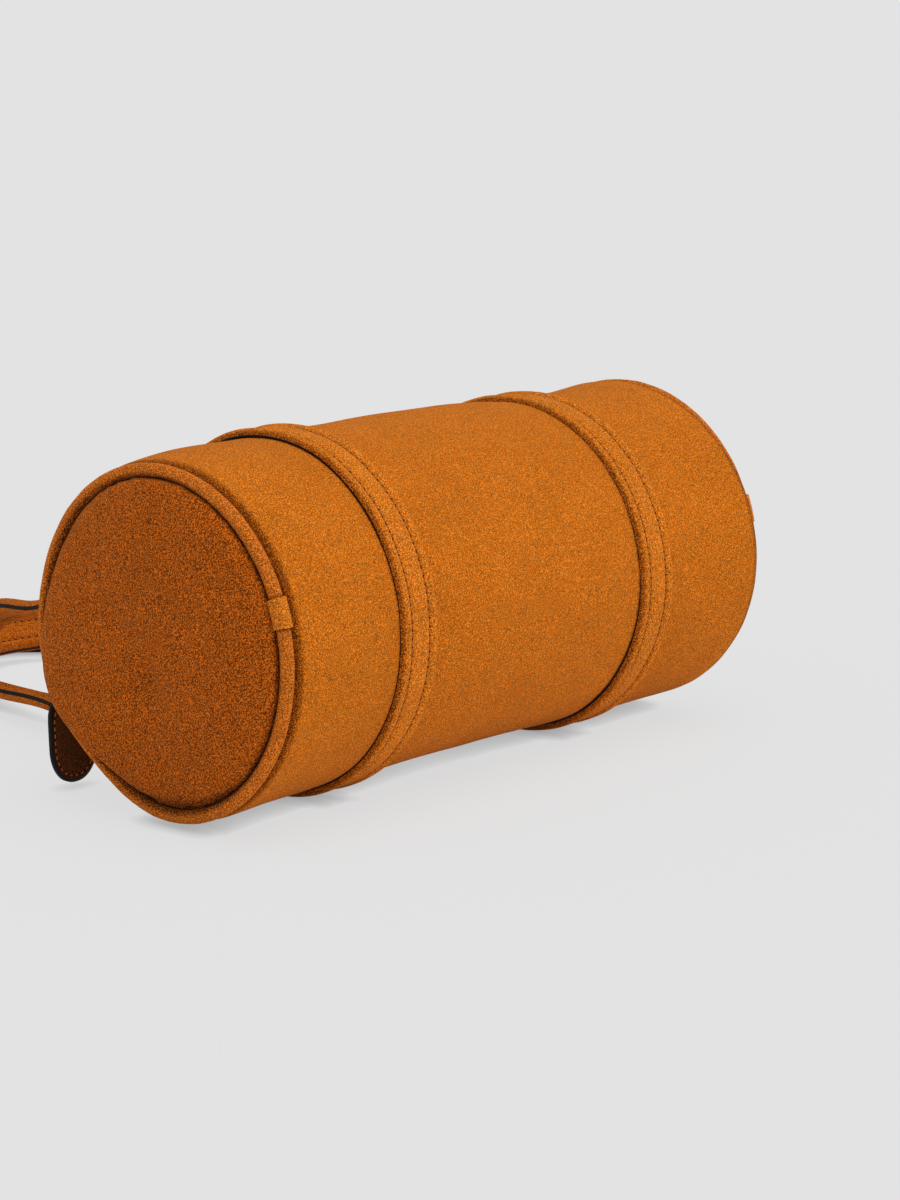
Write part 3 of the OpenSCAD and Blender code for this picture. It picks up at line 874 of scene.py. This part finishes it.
def handle_line(way, start):
    """Points and directions over a handle, and how far each point lies from the nearer root."""
    turns = np.concatenate([np.linspace(0, 3, 60), np.linspace(3, 90, 700)[1:]])
    raw = np.array([on_line(way, turn) for turn in turns])
    lengths = np.concatenate([[0], np.cumsum(np.linalg.norm(np.diff(raw, axis=0), axis=1))])
    from_root = np.linspace(start, lengths[-1], int((lengths[-1] - start) / 2))
    picked = np.interp(from_root, lengths, turns)
    points = np.array([on_line(way, turn) for turn in picked])
    across, out = np.array([frame_at(way, turn) for turn in picked]).transpose(1, 0, 2)
    mirrored = [np.concatenate([half, half[::-1][1:] * [-1, 1, 1]]) for half in (points, across, out)]
    return mirrored + [np.concatenate([from_root, from_root[::-1][1:]])]


def build_outer_strip(way, word, body):
    """The outer strip runs on from the band without a break and bends at its root."""
    points, across, out, from_root = handle_line(way, 0.0)
    radial = outward(way * LEAVE)
    rest = float(band_radius(-BAND_X, way * LEAVE)) - BODY_R
    points = points + (1 - smooth(from_root / LIES_OVER))[:, None] * rest * radial
    flat = (1 - smooth(from_root / FLAT_OVER))[:, None]
    out = out * (1 - flat) + radial * flat
    out /= np.linalg.norm(out, axis=1, keepdims=True)
    root = world(0, way * LEAVE, BODY_R)
    leaving = way * (world(0, way * LEAVE - 90, 1.0) - world(0, 0, 0.0))
    bend = [tuple((root + leaving * reach) * MM) for reach in BEND_REACHES]
    strip = strap_piece(word + "_handle_outer", points, across, out, STRAP)
    # Painted shade grows along the handle from the band's tone at its root
    mark_points(strip, "along", np.repeat(smooth(from_root / SHADE_OVER), len(PROFILE)))
    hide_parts(word + "_handle_outer_strip")
    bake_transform(strip)
    rows = sewn_rows(points, across, out)
    stitches(word + "_handle_outer_stitches", rows, THREAD, body, ends=bend)


def build_inner_strip(way, word, body):
    """The inner strip is sewn on behind the grip."""
    points, across, out, _ = handle_line(way, SINGLE)
    points = points - 0.1 * out
    strip = strap_piece(word + "_handle_inner", points, across, -out, STRAP, ends=True)
    mark_points(strip, "along", np.ones(len(strip.data.vertices)))
    finish_piece(strip, body, "suede", word + "_handle_inner_strip")
    stitches(word + "_handle_inner_stitches", sewn_rows(points, across, -out), THREAD, body)


def build_handle(way, word):
    build_outer_strip(way, word, word + "_handle")
    build_inner_strip(way, word, word + "_handle")


# Zip

# A tape: half length, its two edges from the zip's middle and half thickness, then the cord along
# its inner edge: place, spread and height
TAPE_HALF, TAPE_EDGES, TAPE_HALF_T = 117.3, (2.6, 15.4), 0.3
RIM_AT, RIM_SPREAD, RIM_H = 3.2, 0.6, 0.25
# Teeth: pitch, how many lie on each side of the middle, and a tooth's distances from the zip's
# middle, each with its half length there
TOOTH_PITCH, HALF_COUNT = 2.6, 42
TOOTH = [(0.62, 0.42), (1.27, 0.5), (2.0, 0.5), (2.48, 0.36)]
# The row of stitches beside the slot: half length, distance from the slot and height on the suede
ZIP_ROW_HALF, ZIP_ROW_V, ZIP_ROW_H = 115, 2.6, 0.42


def build_tape(way, word):
    """Woven cloth with a thicker cord along its inner edge."""
    xs = np.linspace(-TAPE_HALF, TAPE_HALF, 180)
    places = np.linspace(*TAPE_EDGES, 16)
    rows = []
    for face, run in ((1, places), (-1, places[::-1])):
        for place in run:
            rim = RIM_H * math.exp(-((place - RIM_AT) / RIM_SPREAD) ** 2)
            r = TAPE_R + face * (TAPE_HALF_T + rim)
            rows.append(world(xs, way * math.degrees(place / TAPE_R), r))
    faces, _ = grid_faces(len(rows), len(xs), close_rows=True)
    faces += side_caps(len(rows), len(xs))
    tape = mesh_object(word + "_zip_tape_cloth", np.concatenate(rows), faces, TAPE)
    finish_piece(tape, "bag", "zip_tape", word + "_zip_tape")


def build_teeth(way, word):
    """Small chamfered blocks; the lower row stands half a pitch further on."""
    shift = 0.0 if way > 0 else TOOTH_PITCH / 2
    half_ring = [(-0.8, 1.05), (-1.0, 0.6), (-1.0, -0.6), (-0.8, -1.05)]
    ring = half_ring + [(-x, -z) for x, z in half_ring]
    points, faces = [], []
    quads = grid_faces(len(TOOTH), len(ring), close_cols=True)[0] + end_caps(len(TOOTH), len(ring))
    for i in range(-HALF_COUNT, HALF_COUNT):
        middle = i * TOOTH_PITCH + shift
        faces += shifted(quads, len(points))
        for depth, half in TOOTH:
            points += [(middle + 1.05 * half * dx, way * depth, TAPE_R + dz) for dx, dz in ring]
    teeth = mesh_object(word + "_zip_teeth_brass", laid(points), faces, BRASS, smooth_shade=False)
    finish_piece(teeth, "bag", "zip_metal", word + "_zip_teeth")


def build_zip():
    for way, word in ((1, "upper"), (-1, "lower")):
        build_tape(way, word)
        build_teeth(way, word)
        # one row of stitches holds the folded suede to each tape
        ang = way * math.degrees((SLOT_HALF_W + ZIP_ROW_V) / BODY_R)
        line = world(np.linspace(-ZIP_ROW_HALF, ZIP_ROW_HALF, 240), ang, BODY_R + ZIP_ROW_H)
        row = (line, np.tile(outward(ang), (len(line), 1)))
        stitches(word + "_zip_stitches", [row], THREAD, "bag")
    for node in ("zip_top_stops", "zip_bottom_stop"):
        frame["nodes"][node].data.materials.clear()
        frame["nodes"][node].data.materials.append(BRASS)


# Slider and pull tab

# Half outline of the slider's shield-shaped plates, broad at the closed end and narrower toward the
# open end, and the heights of the plates, the post between them and the two feet of the bar
PLATE = [(-5.0, 2.2), (-4.2, 3.6), (-1.5, 4.0), (1.2, 3.9), (3.6, 3.3), (5.0, 2.5)]
PLATE_HEIGHTS = ((60.55, 61.75), (56.65, 57.85))
POST_HEIGHTS, FOOT_LOW = (57.0, 61.0), 61.5
# Half sizes of the post and of a foot, and how far out each foot stands
POST, FOOT, FOOT_X = (2.5, 0.35), (1.0, 0.8), 3.9
# The bar's rings: place along it and radius
BAR_RINGS = ((-4.9, 0.55), (-4.6, 0.8), (4.6, 0.8), (4.9, 0.55))


def prism(outline, low, high):
    """A flat outline of (x, y) pairs drawn out between two heights."""
    points = [(x, y, z) for z in (low, high) for x, y in outline]
    faces, _ = grid_faces(2, len(outline), close_cols=True)
    return points, faces + end_caps(2, len(outline))


def rectangle(x, half_x, half_y):
    return [(x - half_x, -half_y), (x + half_x, -half_y), (x + half_x, half_y), (x - half_x, half_y)]


def build_slider():
    plate = [(SLIDER_X + x, y) for x, y in PLATE] + [(SLIDER_X + x, -y) for x, y in reversed(PLATE)]
    blocks = [prism(plate, *heights) for heights in PLATE_HEIGHTS]
    blocks.append(prism(rectangle(SLIDER_X, *POST), *POST_HEIGHTS))
    for end in (-1, 1):
        blocks.append(prism(rectangle(SLIDER_X + end * FOOT_X, *FOOT), FOOT_LOW, BAR_R))
    points, faces = [], []
    for more, quads in blocks:
        faces += shifted(quads, len(points))
        points += more
    slider = mesh_object("zip_slider_brass", laid(points), faces, BRASS)
    round_edges(slider, 0.22)
    finish_piece(slider, "slider", "zip_metal", "zip_slider")
    sides = 16
    rod = []
    for x, r in BAR_RINGS:
        for t in np.linspace(0, 2 * math.pi, sides, endpoint=False):
            rod.append((SLIDER_X + x, r * math.cos(t), BAR_R + r * math.sin(t)))
    faces = grid_faces(len(BAR_RINGS), sides, close_cols=True)[0] + end_caps(len(BAR_RINGS), sides)
    bar = mesh_object("zip_slider_bar", laid(rod), faces, BRASS)
    finish_piece(bar, "slider", "zip_metal")


# The tab hangs from the bar: half width, tip, and how far it has slid and leans along the bar
TAB_HALF_W, TAB_TIP, TAB_SHIFT, TAB_LEAN = 10.8, 39.5, -2.0, 2.0
# Middle of its faces, height of its rounded lower part, and where its stitches lie and start
TAB_CENTRE = np.array([0.0, -22.0])
TAB_ROUND = 13.2
SEWN_SHARE, SEWN_TOP = 0.86, -9.5
# Rings of one half: share of the outline and depth, from the middle of a face to the painted edge
TAB_RINGS = [
    (0.0, 1.1), (0.35, 1.14), (0.62, 1.2), (0.8, 1.22), (0.86, 1.02), (0.92, 1.16), (0.97, 1.02),
    (1.0, 0.7)]
# The loop round the bridge bar: place along the bar and radius, from its bore over its outside
LOOP = ((-2.5, 1.12), (-2.5, 2.1), (-2.2, 2.2), (2.2, 2.2), (2.5, 2.1), (2.5, 1.12))


def tab_place(flat, depth):
    """Points of the tab, from across and down its face and depth toward the bag's far side."""
    a = math.radians(TAB_LEAN)
    x = flat[:, 0] * math.cos(a) - flat[:, 1] * math.sin(a)
    z = flat[:, 1] * math.cos(a) + flat[:, 0] * math.sin(a)
    bar = world(SLIDER_X + TAB_SHIFT, 0, BAR_R)
    return bar + np.stack([x, np.full(len(flat), depth), z], -1)


def tab_outline():
    right = [(2.5, -1.6), (2.5, -4.6), (4.2, -6.4), (7.4, -8.3), (9.7, -10.6), (10.6, -13.4),
             (TAB_HALF_W, -16.5), (TAB_HALF_W, -20), (TAB_HALF_W, -24)]
    for t in np.radians(np.linspace(6, 90, 16)):
        fall = TAB_ROUND * math.sin(t) ** 1.04
        right.append((TAB_HALF_W * math.cos(t) ** 0.88, TAB_ROUND - TAB_TIP - fall))
    return np.array(right + [(-x, z) for x, z in reversed(right[:-1])])


def build_tab():
    outline = tab_outline()
    rings = [(share, -depth) for share, depth in TAB_RINGS]
    rings += [(share, depth) for share, depth in reversed(TAB_RINGS)]
    rows = [tab_place(TAB_CENTRE + (outline - TAB_CENTRE) * share, depth) for share, depth in rings]
    faces, index = grid_faces(len(rows), len(outline), close_cols=True)
    edge = len(TAB_RINGS) - 1
    marks = [int(abs(i - edge) <= 2) for i, _ in index]
    tab = mesh_object("pull_tab_suede", np.concatenate(rows), faces, [TAB_SHADED, PAINT], marks)
    finish_piece(tab, "pull_tab", "suede_dark", "pull_tab")
    # the loop that goes round the bridge bar
    turns = np.linspace(0, 2 * math.pi, 28, endpoint=False)
    rows = []
    for x, r in LOOP:
        ring = np.stack([np.full(len(turns), x), r * np.cos(turns), r * np.sin(turns)], -1)
        rows.append(world(SLIDER_X + TAB_SHIFT, 0, BAR_R) + ring)
    faces, _ = grid_faces(len(rows), len(turns), close_rows=True, close_cols=True)
    loop = mesh_object("pull_tab_loop", np.concatenate(rows), faces, TAB_SHADED)
    finish_piece(loop, "pull_tab", "suede_dark")
    # a row of stitches on both faces, along the outline
    sewn = TAB_CENTRE + (outline - TAB_CENTRE) * SEWN_SHARE
    sewn = sewn[sewn[:, 1] < SEWN_TOP]
    lines = [(tab_place(sewn, d * 1.06), np.tile([0.0, d, 0], (len(sewn), 1))) for d in (-1, 1)]
    stitches(
        "pull_tab_stitches", lines, THREAD_LIGHT, "pull_tab",
        pitch=2.6, length=1.9, rad=0.24)


build_barrel()
for side, word in ((-1, "left"), (1, "right")):
    build_end(side, word)
    build_band(side, word)
for way, word in ((1, "upper"), (-1, "lower")):
    build_handle(way, word)
build_zip()
build_slider()
build_tab()


# Stage, light and camera

scene = bpy.context.scene
scene.view_settings.view_transform = "Standard"
# The light that comes evenly from all round, and its tint
ROOM_LIGHT, ROOM_TINT = 0.6, (0.98, 0.99, 1.0, 1)
# Each lamp: name, the way its light goes, strength, apparent width in degrees
LAMPS = [("front_light", (-0.30, 0.94, -0.16), 0.45, 20), ("top_light", (0.0, 0.30, -0.95), 1.35, 50)]
# How the bare floor looks, and how much of the light it throws back onto the bag
BACKDROP, FLOOR_TONE = 0.768, 0.88
# Share of the floor that shows a plain level, which keeps the wide shadow faint, and how far and
# how much a painted contact shadow darkens that plain level close to what touches it
PLAIN_SHARE = 0.9
CONTACT_REACH, CONTACT_SHADOW_TONE = 6.0, 0.5
# Half width of the floor and its height, in millimetres
FLOOR_HALF, FLOOR_Z = 30000, -0.02
# The camera: focal length and sensor width, its place from the barrel's axis, and the directions
# to its right and ahead
LENS, SENSOR = 105.0, 36.0
CAMERA_PLACE = (-906.05, -827.58, 255.52)
CAMERA_RIGHT, CAMERA_AHEAD = (0.666, -0.746, 0.0), (0.730, 0.652, -0.207)


def build_lamps():
    for name, way, strength, width in LAMPS:
        lamp = bpy.data.lights.new(name, "SUN")
        lamp.energy, lamp.angle = strength, math.radians(width)
        ob = bpy.data.objects.new(name, lamp)
        ob.rotation_mode = "QUATERNION"
        ob.rotation_quaternion = Vector(way).to_track_quat("-Z", "Y")
        scene.collection.objects.link(ob)


def floor_light():
    """Light on the bare floor, where 1 shows a colour as it is written."""
    lamps = sum(-Vector(way).normalized().z * strength for _, way, strength, _ in LAMPS)
    return ROOM_LIGHT + lamps / math.pi


def build_floor():
    """A matt floor that, seen straight or in gloss, is partly plain pale grey."""
    nodes = Nodes("floor_pale")
    lit = nodes.surface(Base_Color=grey(FLOOR_TONE), Roughness=1.0, Specular_IOR_Level=0.0)
    level = (BACKDROP - (1 - PLAIN_SHARE) * FLOOR_TONE * floor_light()) / PLAIN_SHARE
    # Painted contact shadow: ambient occlusion darkens the plain level close to what touches the floor
    near = nodes.new("ShaderNodeAmbientOcclusion", Distance=CONTACT_REACH * MM)
    tone = nodes.ramp(near.outputs["AO"], (0.0, grey(level * CONTACT_SHADOW_TONE)), (1.0, grey(level)))
    plain_level = nodes.new("ShaderNodeEmission")
    nodes.put(tone, plain_level.inputs["Color"])
    rays = nodes.new("ShaderNodeLightPath")
    seen = nodes.new("ShaderNodeMath", operation="MAXIMUM")
    nodes.put(rays.outputs["Is Camera Ray"], seen.inputs[0])
    nodes.put(rays.outputs["Is Glossy Ray"], seen.inputs[1])
    share = nodes.new("ShaderNodeMath", operation="MULTIPLY")
    nodes.put(seen.outputs[0], share.inputs[0])
    share.inputs[1].default_value = PLAIN_SHARE
    both = nodes.new("ShaderNodeMixShader")
    nodes.put(share.outputs[0], both.inputs[0])
    nodes.put(nodes.shader.outputs["BSDF"], both.inputs[1])
    nodes.put(plain_level.outputs["Emission"], both.inputs[2])
    nodes.put(both.outputs["Shader"], nodes.tree.nodes["Material Output"].inputs["Surface"])
    corners = [(x * FLOOR_HALF, y * FLOOR_HALF, FLOOR_Z) for x, y in ((-1, -1), (1, -1), (1, 1), (-1, 1))]
    mesh_object("floor_plane", corners, [(0, 1, 2, 3)], lit)


def build_room():
    room = bpy.data.worlds.new("soft_room")
    room.use_nodes = True
    level = room.node_tree.nodes["Background"]
    level.inputs["Color"].default_value = ROOM_TINT
    level.inputs["Strength"].default_value = ROOM_LIGHT
    scene.world = room


def build_camera():
    camera = bpy.data.cameras.new("camera_photo")
    camera.lens, camera.sensor_width = LENS, SENSOR
    camera.clip_start, camera.clip_end = 0.05, 100
    ob = bpy.data.objects.new("camera_photo", camera)
    scene.collection.objects.link(ob)
    right = Vector(CAMERA_RIGHT)
    forward = Vector(CAMERA_AHEAD).normalized()
    upward = right.cross(forward)
    ob.matrix_world = Matrix((right, upward, -forward)).transposed().to_4x4()
    ob.matrix_world.translation = (Vector((0, AXIS_Y, AXIS_Z)) + Vector(CAMERA_PLACE)) * MM
    scene.camera = ob


build_lamps()
build_floor()
build_room()
build_camera()
